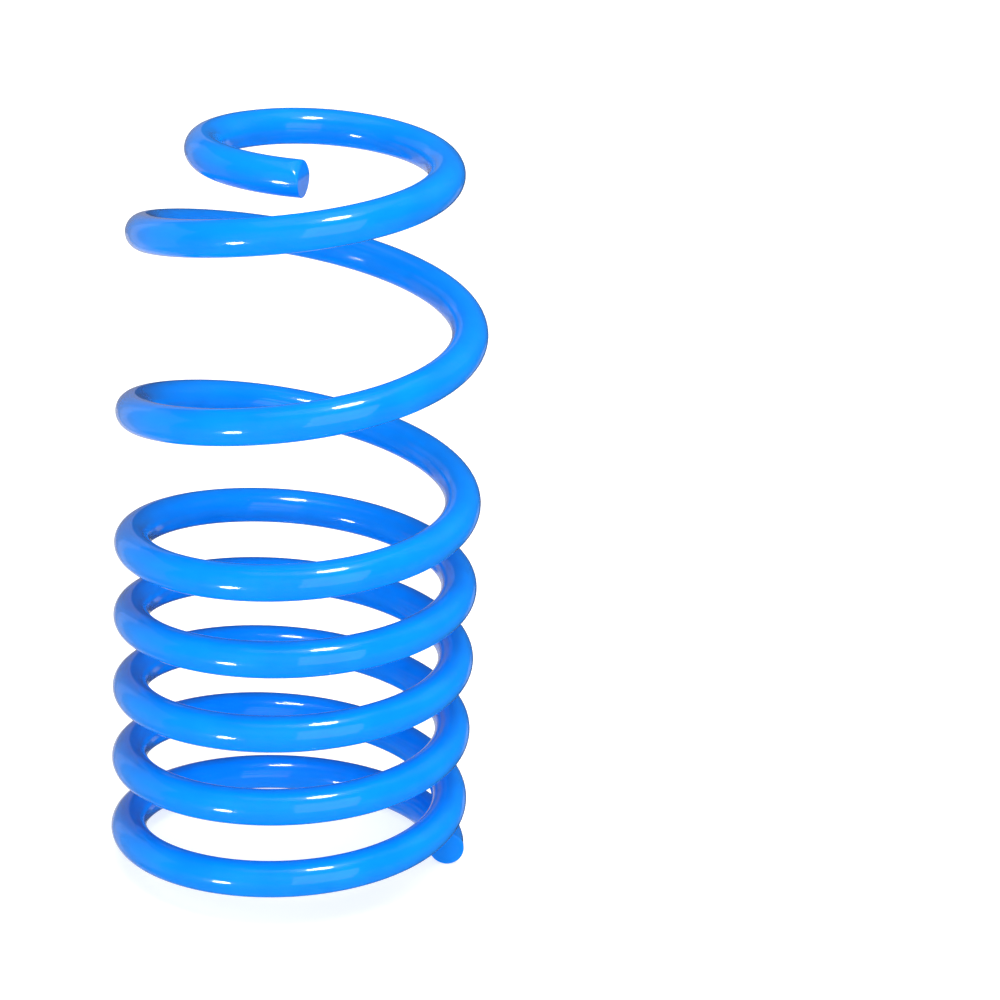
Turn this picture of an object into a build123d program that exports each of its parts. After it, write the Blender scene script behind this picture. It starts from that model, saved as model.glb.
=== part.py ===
from build123d import *
import os
from math import atan2, ceil, cos, degrees, pi, radians, sin, sqrt

# Coil spring wound from one round wire: close coils at the bottom, open coils above them, and a flat top coil
# that spirals inward to a straighter tail with a sheared tip. It is a right-hand helix with its coil axis on
# +Z and the bottom of the wire at Z = 0. The wire is divided into sections by upright planes through the coil
# axis, so that neighbouring sections can slide past each other along Z as the spring closes.

# ---- driving dimensions, mm and turns; turns are counted up the wire from its bottom end ----
WIRE_DIAMETER = 12.5
COIL_RADIUS = 57.15         # coil axis to wire centre
TURNS = 7.758               # from cut end to cut end
START_ANGLE = 0.0           # direction of the bottom end, in degrees from +X towards +Y

CLOSE_PITCH = 27.0          # rise per turn of the close coils
OPEN_PITCH = 62.8           # rise per turn of the open coils
LOWER_FLAT_TO = 0.13        # the end coil lies flat up to here
CLOSE_FROM = 0.475
CLOSE_TO = 4.61
OPEN_FROM = 5.28
OPEN_TO = 6.64
UPPER_FLAT_FROM = 7.32      # the top coil is flat from here to the tip

TIP_RADIUS = 39.0           # coil axis to wire centre at the top tip
SPIRAL_TURNS = 2.9          # length of the inward spiral
SPIRAL_POWER = 7.0          # how sharply it tightens
SPIRAL_OVERSHOOT = 14.7     # how far it passes inside the tip's radius before the straighter tail leads back

# ---- how the wire is divided ----
LOWER_END_TURNS = 1.0       # dead end coil that rests on the lower seat
CLOSE_SECTION = 0.25
CLOSE_SECTIONS = 13
MIDDLE_SECTION = 0.25       # between the close and the open coils
OPEN_SECTION = 0.125
OPEN_SECTIONS = 20
SECTION_GAP = 0.2           # running gap between sections that slide past each other
PROFILE_STEP = 1 / 32       # turns between the profiles that a section is lofted through

# ---- the two cut ends ----
LOWER_EDGE_RADIUS = 0.7     # coating rounds the edge of the square-cut bottom end
SHEAR_ALLOWANCE = 0.03      # turns of wire past the tip, which the shear removes
TIP_ABOVE_CENTRE = 0.4      # height of the ridge between the top tip's two facets
UPPER_FACET_LEAN = 8.0      # degrees that the facet above the ridge leans back from a square cut
LOWER_FACET_LEAN = 0.0      # and the one below it
FACETS_TURN_OUT = 16.0      # degrees that both facets turn away from the coil axis, square to the tail

WIRE_RADIUS = WIRE_DIAMETER / 2
PITCH_STATIONS = [
    (0.0, 0.0),
    (LOWER_FLAT_TO, 0.0),
    (CLOSE_FROM, CLOSE_PITCH),
    (CLOSE_TO, CLOSE_PITCH),
    (OPEN_FROM, OPEN_PITCH),
    (OPEN_TO, OPEN_PITCH),
    (UPPER_FLAT_FROM, 0.0),
    (TURNS, 0.0),
]


def pitch(turn):
    """Rise per turn, which runs straight from one station to the next."""
    for (low, low_pitch), (high, high_pitch) in zip(PITCH_STATIONS, PITCH_STATIONS[1:]):
        if turn <= high:
            return low_pitch + (high_pitch - low_pitch) * (turn - low) / (high - low)
    return 0.0


def height(turn):
    """Height of the wire's centre: the pitch added up from the bottom end."""
    total = WIRE_RADIUS
    for (low, low_pitch), (high, _) in zip(PITCH_STATIONS, PITCH_STATIONS[1:]):
        if turn > low:
            reached = min(turn, high)
            total += (reached - low) * (low_pitch + pitch(reached)) / 2
    return total


def spiral_progress(turn):
    """0 where the inward spiral begins and 1 at the top tip."""
    return max(0.0, 1 - (TURNS - turn) / SPIRAL_TURNS)


def coil_radius(turn):
    """Distance from the coil axis to the wire's centre."""
    s = spiral_progress(turn)
    return COIL_RADIUS - (COIL_RADIUS - TIP_RADIUS) * s**SPIRAL_POWER * (1 + SPIRAL_OVERSHOOT * (1 - s))


def spiral_rate(turn):
    """How fast that distance changes, in mm per turn."""
    s = spiral_progress(turn)
    steepness = SPIRAL_POWER * s ** (SPIRAL_POWER - 1) * (1 + SPIRAL_OVERSHOOT * (1 - s))
    return -(COIL_RADIUS - TIP_RADIUS) / SPIRAL_TURNS * (steepness - SPIRAL_OVERSHOOT * s**SPIRAL_POWER)


def section_plane(turn):
    """The upright plane through the coil axis that cuts the wire here: X outward, normal along the wire."""
    angle = radians(START_ANGLE + 360 * turn)
    outward = Vector(cos(angle), sin(angle), 0)
    along = Vector(-sin(angle), cos(angle), 0)
    centre = outward * coil_radius(turn) + Vector(0, 0, height(turn))
    return Plane(origin=centre, x_dir=outward, z_dir=along)


def wire_profile(turn):
    """The round wire cut by that plane: an ellipse, longer the more the wire climbs or spirals inwards."""
    run = 2 * pi * coil_radius(turn)
    out = spiral_rate(turn) / run
    up = pitch(turn) / run
    if up:
        long_axis = degrees(atan2(up, out))
    else:
        long_axis = 180 if out else 90      # as on the climbing wire next to it, or the loft would twist
    ellipse = Ellipse(WIRE_RADIUS * sqrt(1 + out**2 + up**2), WIRE_RADIUS)
    return section_plane(turn) * Rotation(0, 0, long_axis) * ellipse


def wire_section(start, end):
    """The wire between two turns, lofted through evenly spaced profiles."""
    steps = max(2, ceil((end - start) / PROFILE_STEP - 0.01))
    return loft([wire_profile(start + (end - start) * i / steps) for i in range(steps + 1)])


def half_gap(turn):
    """Half the running gap, in turns."""
    return SECTION_GAP / 2 / (2 * pi * coil_radius(turn))


def end_edge(solid, turn):
    """The rim of the face that lies in the section plane at this turn."""
    plane = section_plane(turn)
    face = solid.faces().sort_by_distance(plane.origin)[0]
    return face.edges()


def lower_end_coil():
    """Dead end coil on the lower seat, with the square-cut end."""
    coil = wire_section(0, LOWER_END_TURNS - half_gap(LOWER_END_TURNS))
    return fillet(end_edge(coil, 0), LOWER_EDGE_RADIUS)


def facet_cutter(tip, lean):
    """Everything past one facet of the sheared tip; lean is positive where the facet looks upwards."""
    turn_out = radians(FACETS_TURN_OUT)
    along = tip.z_dir * cos(turn_out) + tip.x_dir * sin(turn_out)
    facing = along * cos(radians(lean)) + Vector(0, 0, 1) * sin(radians(lean))
    ridge = tip.origin + Vector(0, 0, TIP_ABOVE_CENTRE)
    size = 3 * WIRE_DIAMETER
    cutter = Box(size, size, size, align=(Align.CENTER, Align.CENTER, Align.MIN))
    return Plane(origin=ridge, z_dir=facing) * cutter


def upper_end_coil(start):
    """Flat top coil that spirals inward and ends in two sheared facets that meet in a level ridge."""
    coil = wire_section(start + half_gap(start), TURNS + SHEAR_ALLOWANCE)
    tip = section_plane(TURNS)
    return coil - facet_cutter(tip, UPPER_FACET_LEAN) - facet_cutter(tip, -LOWER_FACET_LEAN)


def free_section(start, end):
    """A section that slides between its neighbours, with its share of the gap at each end."""
    return wire_section(start + half_gap(start), end - half_gap(end))


def spring_sections():
    """Every section by name, from the bottom of the spring to the top."""
    sections = {"lower_end_coil": lower_end_coil()}
    turn = LOWER_END_TURNS
    for i in range(CLOSE_SECTIONS):
        sections[f"close_coil_{i + 1:02d}"] = free_section(turn, turn + CLOSE_SECTION)
        turn += CLOSE_SECTION
    sections["middle_coil"] = free_section(turn, turn + MIDDLE_SECTION)
    turn += MIDDLE_SECTION
    for i in range(OPEN_SECTIONS):
        sections[f"open_coil_{i + 1:02d}"] = free_section(turn, turn + OPEN_SECTION)
        turn += OPEN_SECTION
    sections["upper_end_coil"] = upper_end_coil(turn)
    return sections


def main():
    os.makedirs("parts", exist_ok=True)
    for name, solid in spring_sections().items():
        export_step(solid, f"parts/{name}.step")
    print(f"free height {height(TURNS) + WIRE_RADIUS:.1f} mm")


main()
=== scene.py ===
from math import cos, pi, radians, sin

import bpy
import numpy as np
from mathutils import Matrix, Vector


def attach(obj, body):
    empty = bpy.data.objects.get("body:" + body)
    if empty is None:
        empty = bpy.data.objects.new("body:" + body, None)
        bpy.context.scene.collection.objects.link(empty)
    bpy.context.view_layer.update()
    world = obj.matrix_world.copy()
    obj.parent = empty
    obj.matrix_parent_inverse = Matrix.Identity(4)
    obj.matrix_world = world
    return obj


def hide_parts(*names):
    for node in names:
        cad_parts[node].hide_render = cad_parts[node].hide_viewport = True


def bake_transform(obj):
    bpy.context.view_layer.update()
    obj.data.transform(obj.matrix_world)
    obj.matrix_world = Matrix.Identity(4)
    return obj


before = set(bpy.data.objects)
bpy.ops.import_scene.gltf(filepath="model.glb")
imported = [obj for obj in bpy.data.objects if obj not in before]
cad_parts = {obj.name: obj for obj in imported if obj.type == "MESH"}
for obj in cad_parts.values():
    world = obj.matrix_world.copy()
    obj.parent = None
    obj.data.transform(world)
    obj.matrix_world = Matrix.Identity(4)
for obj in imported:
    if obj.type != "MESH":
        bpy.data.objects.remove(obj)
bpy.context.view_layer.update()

# The spring is one continuous wire. It is built here as a row of closed lengths of wire that meet face to
# face on the same upright planes;
# the end and middle lengths are fixed to their bodies, and the lengths between them are built only in their
# rest place. All of it is in
# metres and turns, and turns are counted up the wire from its bottom end, as in the CAD model.

MM = 0.001
WIRE_RADIUS = 6.25 * MM
COIL_RADIUS = 57.15 * MM
TURNS = 7.758
START_ANGLE = 0.0
PITCH_TURNS = (0.0, 0.13, 0.475, 4.61, 5.28, 6.64, 7.32, TURNS)
PITCHES = (0.0, 0.0, 27 * MM, 27 * MM, 62.8 * MM, 62.8 * MM, 0.0, 0.0)
TIP_RADIUS = 39 * MM
SPIRAL_TURNS = 2.9          # length of the inward spiral
SPIRAL_POWER = 7.0          # how sharply it tightens
SPIRAL_OVERSHOOT = 14.7     # how far it passes inside the tip's radius before the straighter tail leads back

# ---- where one CAD body hands over to the next ----
CLOSE_ZONE = (1.0, 4.25)
CLOSE_SECTION = 0.25
OPEN_ZONE = (4.5, 7.0)
OPEN_SECTION = 0.125

# ---- the sheared top tip and the square-cut bottom end ----
TIP_ABOVE_CENTRE = 0.4 * MM     # height of the ridge between the tip's two facets
UPPER_FACET_LEAN = 8.0          # degrees that the facet above the ridge leans back from a square cut
LOWER_FACET_LEAN = 0.0          # and the one below it
FACETS_TURN_OUT = 16.0          # degrees that both facets turn away from the coil axis
RIDGE_SOFTNESS = 0.15 * MM
ROLLOVER_DEPTH = 2.3 * MM       # the shear drags the wire's upper outer side over in a long curve
ROLLOVER_LENGTH = 3.6 * MM
ROLLOVER_AT = radians(58)       # around the wire, up from its outer side
ROLLOVER_SPREAD = radians(34)
TIP_EDGE = 0.30 * MM            # coating rounds the rest of the rim this much
BOTTOM_EDGE = 0.6 * MM
BOTTOM_HOLLOW = 0.10 * MM       # the saw leaves the bottom face very slightly hollow
BOTTOM_WAVES = ((2, 0.7, 0.05 * MM), (3, 2.1, 0.03 * MM))  # and uneven: waves around, where, how high
PLAIN_FROM = 0.02               # turns from the bottom end to its first plain ring
PLAIN_TO = TURNS - 0.06         # last plain ring before the tip

# ---- mesh ----
SIDES = 64
RINGS_PER_TURN = 128
TAIL_RINGS = 7            # between the last plain ring and the tip's rim
EDGE_STEPS = 6
ROLLOVER_STEPS = 18
FACE_RINGS = 12
FINE_STEP = 0.001         # turns
SOLVER_STEPS = 8

UP = np.array([0.0, 0.0, 1.0])
FINE_TURNS = np.arange(0, TURNS + 0.1, FINE_STEP)


def pitch(turn):
    return np.interp(turn, PITCH_TURNS, PITCHES)


FINE_PITCH = pitch(FINE_TURNS)
FINE_HEIGHT = WIRE_RADIUS + np.concatenate(
    [[0], np.cumsum((FINE_PITCH[1:] + FINE_PITCH[:-1]) / 2 * np.diff(FINE_TURNS))]
)


def height(turn):
    """Height of the wire's centre: the pitch added up from the bottom end."""
    return np.interp(turn, FINE_TURNS, FINE_HEIGHT)


def spiral_progress(turn):
    """0 where the inward spiral begins and 1 at the top tip."""
    return np.maximum(0, 1 - (TURNS - turn) / SPIRAL_TURNS)


def coil_radius(turn):
    s = spiral_progress(turn)
    return COIL_RADIUS - (COIL_RADIUS - TIP_RADIUS) * s**SPIRAL_POWER * (1 + SPIRAL_OVERSHOOT * (1 - s))


def spiral_rate(turn):
    """How fast the coil radius changes, in metres per turn."""
    s = spiral_progress(turn)
    steepness = SPIRAL_POWER * s ** (SPIRAL_POWER - 1) * (1 + SPIRAL_OVERSHOOT * (1 - s))
    return -(COIL_RADIUS - TIP_RADIUS) / SPIRAL_TURNS * (steepness - SPIRAL_OVERSHOOT * s**SPIRAL_POWER)


def outward(turn):
    angle = np.radians(START_ANGLE + 360 * np.asarray(turn, float))
    return np.stack([np.cos(angle), np.sin(angle), 0 * angle], -1)


def centre(turn):
    turn = np.asarray(turn, float)
    return outward(turn) * coil_radius(turn)[..., None] + height(turn)[..., None] * UP


def wire_point(turn, share, around):
    """A point of the wire, in the upright plane through the coil axis at this turn. Share is 0 at the wire's
    centre and 1 at its surface; around is 0 on the outer side and a quarter turn on top."""
    turn, share, around = np.broadcast_arrays(*(np.asarray(x, float) for x in (turn, share, around)))
    out = outward(turn)
    along = np.cross(UP, out)
    run = 2 * pi * coil_radius(turn)
    spiral = (spiral_rate(turn) / run)[..., None]
    climb = (pitch(turn) / run)[..., None]
    tangent = (along + spiral * out + climb * UP) / np.sqrt(1 + spiral**2 + climb**2)
    side = (out - spiral * along) / np.sqrt(1 + spiral**2)
    top = np.cross(side, tangent)
    reach = (share * WIRE_RADIUS)[..., None]
    offset = reach * (np.cos(around)[..., None] * side + np.sin(around)[..., None] * top)
    slide = (offset * along).sum(-1, keepdims=True) / (tangent * along).sum(-1, keepdims=True)
    return centre(turn) + offset - slide * tangent


AROUND = np.linspace(0, 2 * pi, SIDES, endpoint=False)


def ring(turn, share=1.0):
    return wire_point(turn, share, AROUND)


def ring_normals(turn):
    """The surface's own normals on a ring, so that two lengths of wire shade alike where they meet."""
    small = 1e-4
    ahead = ring(turn + small) - ring(turn - small)
    around = wire_point(turn, 1, AROUND + small) - wire_point(turn, 1, AROUND - small)
    normals = np.cross(ahead, around)
    return normals / np.linalg.norm(normals, axis=-1, keepdims=True)


def plain_rings(start, end):
    """Rings from start to end, both included."""
    steps = max(3, int(np.ceil((end - start) * RINGS_PER_TURN)))
    return [ring(turn) for turn in np.linspace(start, end, steps + 1)]


def rounded_rim(radius):
    """(share, distance back from the face) of each ring over a rounded rim, from the side to the face."""
    for angle in np.linspace(0, pi / 2, EDGE_STEPS + 1):
        yield 1 - radius / WIRE_RADIUS * (1 - cos(angle)), radius * (1 - sin(angle))


# ---- the two cut ends ----


def bottom_dish(share):
    """How far back the bottom face lies there."""
    wander = sum(size * np.sin(waves * AROUND + place) for waves, place, size in BOTTOM_WAVES)
    return BOTTOM_HOLLOW * (1 - share**2) + wander * share


def bottom_rings():
    """Rings of the square-cut end, from around the face's middle out to its rim and over it."""
    per_turn = 2 * pi * COIL_RADIUS
    rings = []
    rim = list(rounded_rim(BOTTOM_EDGE))
    inner = rim[-1][0]
    for k in range(1, FACE_RINGS + 1):
        share = inner * k / FACE_RINGS
        rings.append(wire_point(bottom_dish(share) / per_turn, share, AROUND))
    for share, back in rim[-2::-1]:
        rings.append(wire_point((bottom_dish(share) + back) / per_turn, share, AROUND))
    return rings


def facing(lean):
    """The way that a facet of the top tip looks."""
    out = outward(TURNS)
    along = np.cross(UP, out)
    level = along * cos(radians(FACETS_TURN_OUT)) + out * sin(radians(FACETS_TURN_OUT))
    return level * cos(radians(lean)) + UP * sin(radians(lean))


def tip_turn(share, around):
    """The turn at which the wire meets the two facets, which run into each other in a soft ridge."""
    ridge = centre(TURNS) + TIP_ABOVE_CENTRE * UP
    upper, lower = facing(UPPER_FACET_LEAN), facing(-LOWER_FACET_LEAN)

    def past(turn):
        point = wire_point(turn, share, around) - ridge
        a, b = point @ upper, point @ lower
        mix = np.maximum(RIDGE_SOFTNESS - np.abs(a - b), 0) / RIDGE_SOFTNESS
        return np.maximum(a, b) + mix**2 * RIDGE_SOFTNESS / 4

    turn = np.full(np.broadcast(share, around).shape, TURNS)
    per_turn = 2 * pi * TIP_RADIUS
    for _ in range(SOLVER_STEPS):
        turn = turn - past(turn) / per_turn
    return turn


def top_rings(start):
    """Rings from start up to the tip's rim, over it, and in to the middle of the sheared face."""
    per_turn = 2 * pi * TIP_RADIUS
    away = (AROUND - ROLLOVER_AT + pi) % (2 * pi) - pi
    rolled = np.exp(-((away / ROLLOVER_SPREAD) ** 2))
    depth = TIP_EDGE + (ROLLOVER_DEPTH - TIP_EDGE) * rolled
    length = TIP_EDGE + (ROLLOVER_LENGTH - TIP_EDGE) * rolled
    rim = []
    for angle in np.linspace(0, pi / 2, ROLLOVER_STEPS + 1):
        share = 1 - depth / WIRE_RADIUS * (1 - cos(angle))
        turn = tip_turn(share, AROUND) - length * (1 - sin(angle)) / per_turn
        rim.append(wire_point(turn, share, AROUND))
    rings = plain_rings(start, PLAIN_TO)
    first = tip_turn(np.ones(SIDES), AROUND) - length / per_turn
    for part in np.linspace(0, 1, TAIL_RINGS + 2)[1:-1]:
        rings.append(wire_point(PLAIN_TO + (first - PLAIN_TO) * part, 1, AROUND))
    rings += rim
    inner = 1 - depth / WIRE_RADIUS
    for k in range(FACE_RINGS - 1, 0, -1):
        share = inner * k / FACE_RINGS
        rings.append(wire_point(tip_turn(share, AROUND), share, AROUND))
    return rings


# ---- meshes ----


def vertex_normals(points, faces):
    """Each face's normal, weighted by its area, added up at its corners."""
    total = np.zeros_like(points)
    for size in {len(f) for f in faces}:
        corners = np.array([f for f in faces if len(f) == size])
        p = points[corners]
        normal = np.cross(p[:, 1] - p[:, 0], p[:, 2] - p[:, 0])
        if size == 4:
            normal = np.cross(p[:, 2] - p[:, 0], p[:, 3] - p[:, 1])
        for k in range(size):
            np.add.at(total, corners[:, k], normal)
    return total / np.linalg.norm(total, axis=1, keepdims=True)


def wire_mesh(name, rings, closed_start, closed_end, start_turn=None, end_turn=None):
    """A closed length of wire through these rings. An end that closes to a point is part of the surface; the
    other kind is a flat face that meets the next length."""
    points = [p for r in rings for p in r]
    faces, flat = [], []
    count = len(rings)
    for i in range(count - 1):
        for j in range(SIDES):
            k = (j + 1) % SIDES
            faces.append((i * SIDES + j, (i + 1) * SIDES + j, (i + 1) * SIDES + k, i * SIDES + k))
    last = (count - 1) * SIDES
    if closed_start:
        points.append(np.mean(rings[0], axis=0))
        tip = len(points) - 1
        faces += [(tip, j, (j + 1) % SIDES) for j in range(SIDES)]
    else:
        flat.append(tuple(range(SIDES)))
    if closed_end:
        points.append(np.mean(rings[-1], axis=0))
        tip = len(points) - 1
        faces += [(tip, last + (j + 1) % SIDES, last + j) for j in range(SIDES)]
    else:
        flat.append(tuple(last + j for j in reversed(range(SIDES))))
    points = np.array(points)
    normals = vertex_normals(points, faces)
    if not closed_start:
        normals[:SIDES] = ring_normals(start_turn)
    if not closed_end:
        normals[last : last + SIDES] = ring_normals(end_turn)

    mesh = bpy.data.meshes.new(name)
    mesh.from_pydata(points.tolist(), [], faces + flat)
    mesh.polygons.foreach_set("use_smooth", [True] * len(mesh.polygons))
    custom = []
    for polygon in mesh.polygons:
        if polygon.index < len(faces):
            custom += [normals[v] for v in polygon.vertices]
        else:
            custom += [tuple(polygon.normal)] * len(polygon.vertices)
    mesh.normals_split_custom_set([tuple(n) for n in custom])
    mesh.update()
    piece = bpy.data.objects.new(name, mesh)
    bpy.context.scene.collection.objects.link(piece)
    return piece


# ---- powder coat ----


def powder_coat():
    """Gloss azure powder coat: slight orange peel, a little uneven in depth of colour and in gloss."""
    material = bpy.data.materials.new("powder_coat")
    material.use_nodes = True
    tree = material.node_tree
    nodes, links = tree.nodes, tree.links
    shader = nodes["Principled BSDF"]
    place = nodes.new("ShaderNodeTexCoord")

    def noise(scale, detail, roughness=0.5):
        node = nodes.new("ShaderNodeTexNoise")
        node.inputs["Scale"].default_value = scale
        node.inputs["Detail"].default_value = detail
        node.inputs["Roughness"].default_value = roughness
        links.new(place.outputs["Object"], node.inputs["Vector"])
        return node.outputs["Fac"]

    def between(value, low, high, to_low, to_high):
        node = nodes.new("ShaderNodeMapRange")
        sockets = ("From Min", "From Max", "To Min", "To Max")
        for socket, number in zip(sockets, (low, high, to_low, to_high)):
            node.inputs[socket].default_value = number
        links.new(value, node.inputs["Value"])
        return node.outputs["Result"]

    def bump(height_value, distance, strength, before=None):
        node = nodes.new("ShaderNodeBump")
        node.inputs["Distance"].default_value = distance
        node.inputs["Strength"].default_value = strength
        links.new(height_value, node.inputs["Height"])
        if before:
            links.new(before, node.inputs["Normal"])
        return node.outputs["Normal"]

    depth = nodes.new("ShaderNodeValToRGB")
    depth.color_ramp.elements[0].position = 0.30
    depth.color_ramp.elements[0].color = (0.0006, 0.225, 0.84, 1)
    depth.color_ramp.elements[1].position = 0.70
    depth.color_ramp.elements[1].color = (0.0012, 0.255, 0.91, 1)
    links.new(noise(70, 3), depth.inputs["Fac"])
    links.new(depth.outputs["Color"], shader.inputs["Base Color"])

    links.new(between(noise(420, 2), 0.3, 0.7, 0.16, 0.26), shader.inputs["Roughness"])
    swell = bump(noise(110, 1), 0.10 * MM, 0.5)
    peel = bump(noise(520, 2), 0.022 * MM, 0.6, swell)
    links.new(peel, shader.inputs["Normal"])

    shader.inputs["IOR"].default_value = 1.5
    shader.inputs["Specular IOR Level"].default_value = 0.12
    shader.inputs["Coat Weight"].default_value = 1.0
    shader.inputs["Coat Roughness"].default_value = 0.03
    shader.inputs["Coat IOR"].default_value = 1.5
    links.new(peel, shader.inputs["Coat Normal"])
    return material


COAT = powder_coat()


def finish_piece(piece, *nodes):
    piece.data.materials.append(COAT)
    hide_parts(*nodes)


# ---- where the wire is cut into lengths, and which lengths are fixed to a body ----

EASE = 0.125              # turns over which a zone's own travel sets in next to a rigid length
LONGEST = {"close": 0.125, "open": 0.0625}
GROWTH = 1.2              # most that a length's blend value may grow from one end to the other
SOLID_PITCH = 13.5 * MM   # pitch of the closed spring, wire plus clearance


def travel_shares(zone):
    """(turns, share of the zone's travel reached there): each stretch takes up its own spare pitch."""
    first, last = zone
    turns = np.linspace(first, last, 5001)
    spare = pitch(turns) - SOLID_PITCH
    spare *= np.clip((turns - first) / EASE, 0, 1) * np.clip((last - turns) / EASE, 0, 1)
    share = np.concatenate([[0], np.cumsum((spare[1:] + spare[:-1]) / 2)])
    return turns, share / share[-1]


def blend_place(share):
    return 0.5 - np.sin(np.arcsin(np.clip(1 - 2 * share, -1, 1)) / 3)


def cuts(zone, longest):
    """Turns at which the zone is cut, closer together near its ends, where the blend's curve is sharp."""
    turns, share = travel_shares(zone)
    place = blend_place(share)
    middle = float(np.interp(0.5, place, turns))
    up, down = [zone[0], zone[0] + EASE], [zone[1], zone[1] - EASE]
    while up[-1] < middle:
        here = np.interp(up[-1], turns, place)
        up.append(min(up[-1] + longest, float(np.interp(here * GROWTH, place, turns)), middle))
    while down[-1] > middle:
        here = 1 - np.interp(down[-1], turns, place)
        down.append(max(down[-1] - longest, float(np.interp(1 - here * GROWTH, place, turns)), middle))
    return up + down[-2::-1]


def covering(zone, section, label, start, end):
    """The CAD sections that a length of wire from start to end lies in."""
    tiny = 1e-6
    first = int((start - zone[0]) / section + tiny)
    last = int((end - zone[0]) / section - tiny)
    return [f"{label}_coil_{k + 1:02d}" for k in range(first, last + 1)]


def bending_wire(label, zone, section):
    turns, share = travel_shares(zone)
    edges = cuts(zone, LONGEST[label])
    for number, (start, end) in enumerate(zip(edges, edges[1:]), 1):
        piece = wire_mesh(f"{label}_wire_{number:02d}", plain_rings(start, end), False, False, start, end)
        finish_piece(piece, *covering(zone, section, label, start, end))
        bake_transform(piece)


lower_rings = bottom_rings() + plain_rings(PLAIN_FROM, CLOSE_ZONE[0])
lower = wire_mesh("lower_end_wire", lower_rings, True, False, None, CLOSE_ZONE[0])
finish_piece(lower, "lower_end_coil")
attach(lower, "lower_end_coil")

bending_wire("close", CLOSE_ZONE, CLOSE_SECTION)

middle_rings = plain_rings(CLOSE_ZONE[1], OPEN_ZONE[0])
middle = wire_mesh("middle_wire", middle_rings, False, False, CLOSE_ZONE[1], OPEN_ZONE[0])
finish_piece(middle, "middle_coil")
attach(middle, "middle_coil")

bending_wire("open", OPEN_ZONE, OPEN_SECTION)

upper = wire_mesh("upper_end_wire", top_rings(OPEN_ZONE[1]), False, True, OPEN_ZONE[1], None)
finish_piece(upper, "upper_end_coil")
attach(upper, "upper_end_coil")

# ---- studio ----

FLOOR_RADIUS = 6.0
FLOOR_Z = -0.2 * MM         # just clear of the wire
BACKDROP_BOTTOM = -0.5
BACKDROP_TOP = 6.0
ROUND_SIDES = 96


def plain_material(name, colour, roughness):
    material = bpy.data.materials.new(name)
    material.use_nodes = True
    shader = material.node_tree.nodes["Principled BSDF"]
    shader.inputs["Base Color"].default_value = (*colour, 1)
    shader.inputs["Roughness"].default_value = roughness
    shader.inputs["Specular IOR Level"].default_value = 0.0
    return material


def stage_piece(name, points, faces):
    mesh = bpy.data.meshes.new(name)
    mesh.from_pydata(points, [], faces)
    piece = bpy.data.objects.new(name, mesh)
    bpy.context.scene.collection.objects.link(piece)
    return piece


def stage_circle(z):
    turns = [2 * pi * k / ROUND_SIDES for k in range(ROUND_SIDES)]
    return [(FLOOR_RADIUS * cos(a), FLOOR_RADIUS * sin(a), z) for a in turns]


def round_floor():
    return stage_piece("floor", stage_circle(FLOOR_Z), [tuple(range(ROUND_SIDES))])


def backdrop_wall():
    """A round wall that stands behind the floor from every side."""
    faces = []
    for k in range(ROUND_SIDES):
        n = (k + 1) % ROUND_SIDES
        faces.append((k, k + ROUND_SIDES, n + ROUND_SIDES, n))
    return stage_piece("backdrop", stage_circle(BACKDROP_BOTTOM) + stage_circle(BACKDROP_TOP), faces)


floor = round_floor()
floor_paper = plain_material("floor_paper", (0.50, 0.50, 0.50), 0.9)
floor_glow = floor_paper.node_tree.nodes["Principled BSDF"].inputs
floor_glow["Emission Color"].default_value = (1, 1, 0.98, 1)
floor_glow["Emission Strength"].default_value = 0.76
floor.data.materials.append(floor_paper)
floor.visible_glossy = False
floor.visible_shadow = False

backdrop = backdrop_wall()
paper = bpy.data.materials.new("backdrop_paper")
paper.use_nodes = True
paper_nodes = paper.node_tree.nodes
paper_nodes.remove(paper_nodes["Principled BSDF"])
glow = paper_nodes.new("ShaderNodeEmission")
glow.inputs["Color"].default_value = (1, 1, 1, 1)
glow.inputs["Strength"].default_value = 1.0
paper.node_tree.links.new(glow.outputs["Emission"], paper_nodes["Material Output"].inputs["Surface"])
backdrop.data.materials.append(paper)
backdrop.visible_glossy = False
backdrop.visible_diffuse = False
backdrop.visible_shadow = False

world = bpy.data.worlds.new("studio")
world.use_nodes = True
world.node_tree.nodes["Background"].inputs["Color"].default_value = (0.90, 0.93, 1.0, 1)
world.node_tree.nodes["Background"].inputs["Strength"].default_value = 0.06
bpy.context.scene.world = world

LIGHT_TARGET = Vector((0, 0, 0.13))
SUN_DISTANCE = 3.0
BOTH, GLOSS_ONLY, MATT_ONLY = (True, True), (False, True), (True, False)


def lamp(name, kind, azimuth, elevation, distance, work, colour):
    """A lamp that faces the spring. Azimuth 0 is the camera's side and 90 the right-hand side. Work says
    whether it lights matt surfaces and whether it shows in glossy ones."""
    a, e = radians(azimuth), radians(elevation)
    towards = Vector((sin(a) * cos(e), -cos(a) * cos(e), sin(e)))
    light = bpy.data.lights.new(name, kind)
    light.color = colour
    holder = bpy.data.objects.new(name, light)
    bpy.context.scene.collection.objects.link(holder)
    holder.location = LIGHT_TARGET + towards * distance
    holder.rotation_mode = "QUATERNION"
    holder.rotation_quaternion = towards.to_track_quat("Z", "Y")
    holder.visible_diffuse, holder.visible_glossy = work
    return light


def softbox(
    name, azimuth, elevation, distance, width, tall, radiance, work=BOTH, colour=(1, 1, 1), shape="RECTANGLE"
):
    """A flat lamp. Width and tall are angles in degrees, and radiance is what a mirror would show."""
    light = lamp(name, "AREA", azimuth, elevation, distance, work, colour)
    light.shape = shape
    light.size = 2 * distance * np.tan(radians(width) / 2)
    light.size_y = 2 * distance * np.tan(radians(tall) / 2)
    area = light.size * light.size_y * (pi / 4 if shape == "ELLIPSE" else 1)
    light.energy = radiance * pi * area


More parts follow.
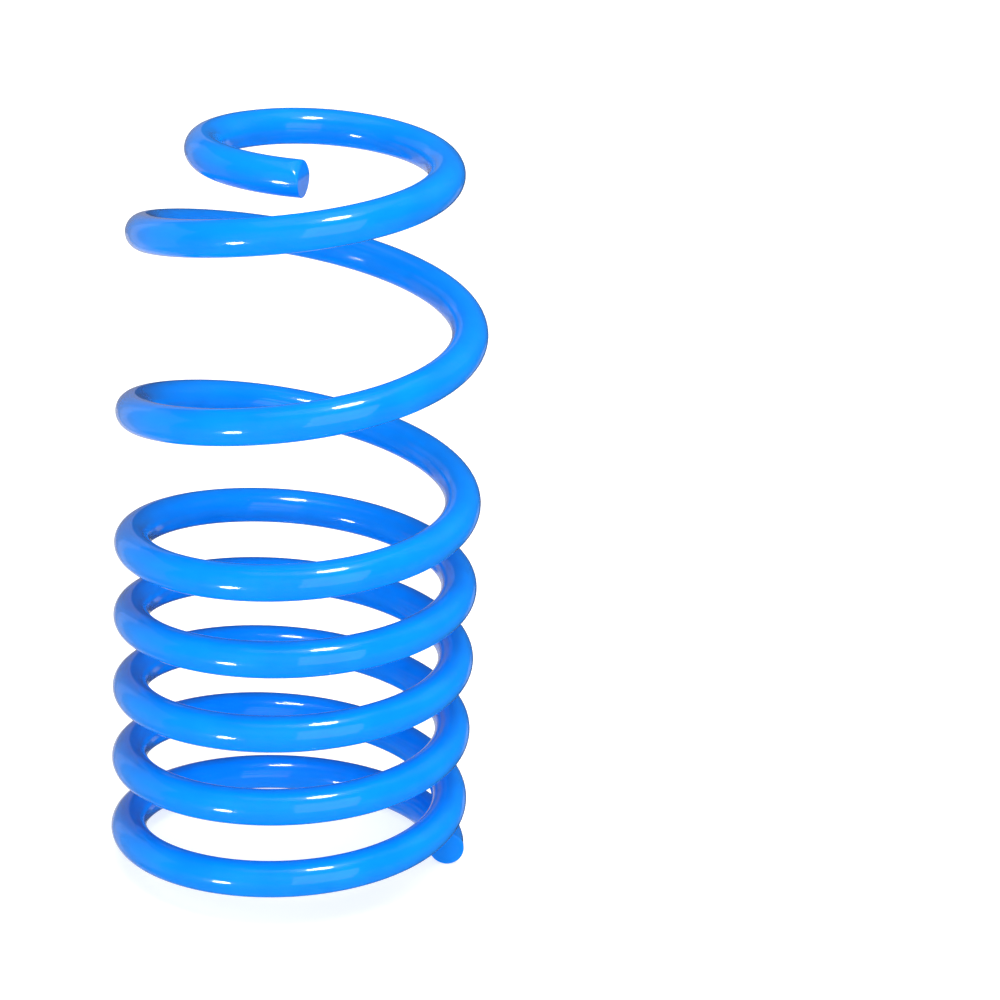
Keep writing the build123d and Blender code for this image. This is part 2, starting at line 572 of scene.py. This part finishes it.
def far_lamp(name, azimuth, elevation, across, radiance, work=BOTH, colour=(1, 1, 1)):
    """A round lamp too far off for its light to fall away over the floor. Across is in degrees."""
    light = lamp(name, "SUN", azimuth, elevation, SUN_DISTANCE, work, colour)
    light.angle = radians(across)
    light.energy = radiance * pi * sin(radians(across) / 2) ** 2


far_lamp("key_overhead", 27, 68, 33, 8.8, MATT_ONLY)
far_lamp("top_fill", 0, 88, 50, 2.8, MATT_ONLY)
softbox("front_fill", -18, 20, 0.6, 60, 40, 1.7, MATT_ONLY)
softbox("low_left_fill", -36, -17, 1.2, 14, 24, 4.2, MATT_ONLY)
softbox("right_fill", 118, 40, 1.2, 40, 40, 2.6, MATT_ONLY)
softbox("key_glint", 27, 68, 1.6, 13, 16, 32.0, GLOSS_ONLY, shape="ELLIPSE")
softbox("low_left_glint", -36, -17, 1.6, 12, 12, 32.0, GLOSS_ONLY, shape="ELLIPSE")
softbox("front_panel", 26, 8, 2.2, 40, 52, 0.75)
softbox("top_panel", 0, 88, 1.6, 50, 50, 0.20, GLOSS_ONLY)
softbox("left_panel", -112, 0, 2.2, 60, 70, 0.22, BOTH, (0.90, 0.88, 1.0))
softbox("left_back_panel", -150, -15, 2.2, 44, 80, 0.24, GLOSS_ONLY, (0.90, 0.88, 1.0))
softbox("paper_behind", -163, -27, 2.2, 30, 30, 0.30, GLOSS_ONLY, (0.94, 0.94, 1.0))
softbox("paper_right_behind", 149, -17, 2.2, 12, 19, 0.34, GLOSS_ONLY, (0.94, 0.94, 1.0))

# ---- camera, at the photograph's place ----

EYE = Vector((0.085099, -1.017176, 0.495002))
LOOK = Vector((-0.01409, 0.94413, -0.32928)).normalized()
HEAD = Vector((-0.05693, 0.32802, 0.94295))
RIGHT = LOOK.cross(HEAD).normalized()
HEAD = RIGHT.cross(LOOK)

camera = bpy.data.objects.new("camera", bpy.data.cameras.new("camera"))
bpy.context.scene.collection.objects.link(camera)
camera.data.sensor_width = 36
camera.data.lens = 112.0
camera.data.clip_start, camera.data.clip_end = 0.01, 40
camera.matrix_world = Matrix.Translation(EYE) @ Matrix((RIGHT, HEAD, -LOOK)).transposed().to_4x4()
bpy.context.scene.camera = camera
bpy.context.scene.view_settings.view_transform = "Standard"
